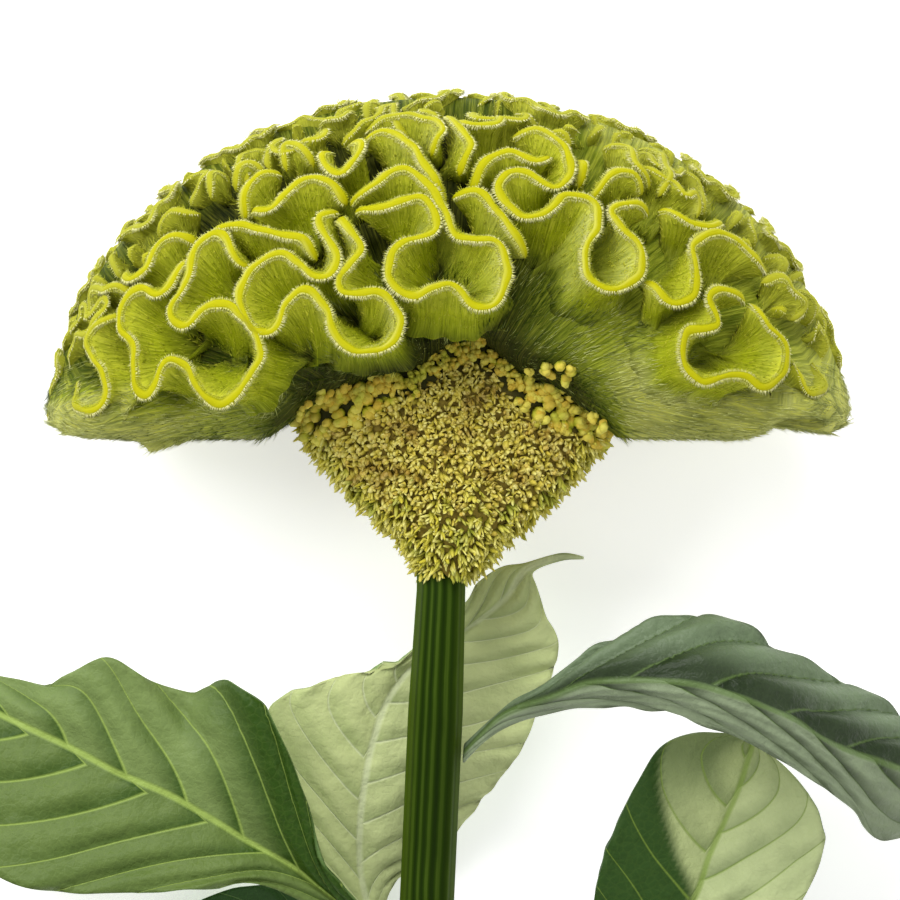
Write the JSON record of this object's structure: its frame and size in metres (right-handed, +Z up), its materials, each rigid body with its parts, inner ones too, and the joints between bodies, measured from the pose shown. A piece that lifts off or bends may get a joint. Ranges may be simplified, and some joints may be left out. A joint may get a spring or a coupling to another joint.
{
  "type": "cut cockscomb celosia flower",
  "caption": "Cut cockscomb celosia lying on its back: folded velvet comb, fan of small florets, ribbed stem and broad leaves.",
  "frame": {"origin": "on the surface that the flower lies on, under the neck where the stem meets the floret fan, at the middle of the footprint", "axes": "+Z up from the surface, out of the comb's face; +Y along the stem from its cut end to the comb; +X across the comb"},
  "size_m": [0.2243, 0.2021, 0.0782],
  "materials": {
    "comb": "velvety folds, yellow lips, lime green walls with pale hairs",
    "florets": "papery, straw and olive",
    "stem": "ribbed, half-matt, dark and light green lines",
    "leaf_green": "satin leaf with pale veins",
    "leaf_dark": "puckered dark leaf, half-gloss",
    "leaf_pale": "matt leaf underside with raised veins"
  },
  "bodies": {
    "root": {"comb": "comb", "florets": "florets", "stem": "stem", "leaf_left": "leaf_green", "leaf_back": "leaf_pale", "leaf_right": "leaf_dark", "leaf_standing": "leaf_pale", "leaf_low": "leaf_green"}
  },
  "joints": []
}
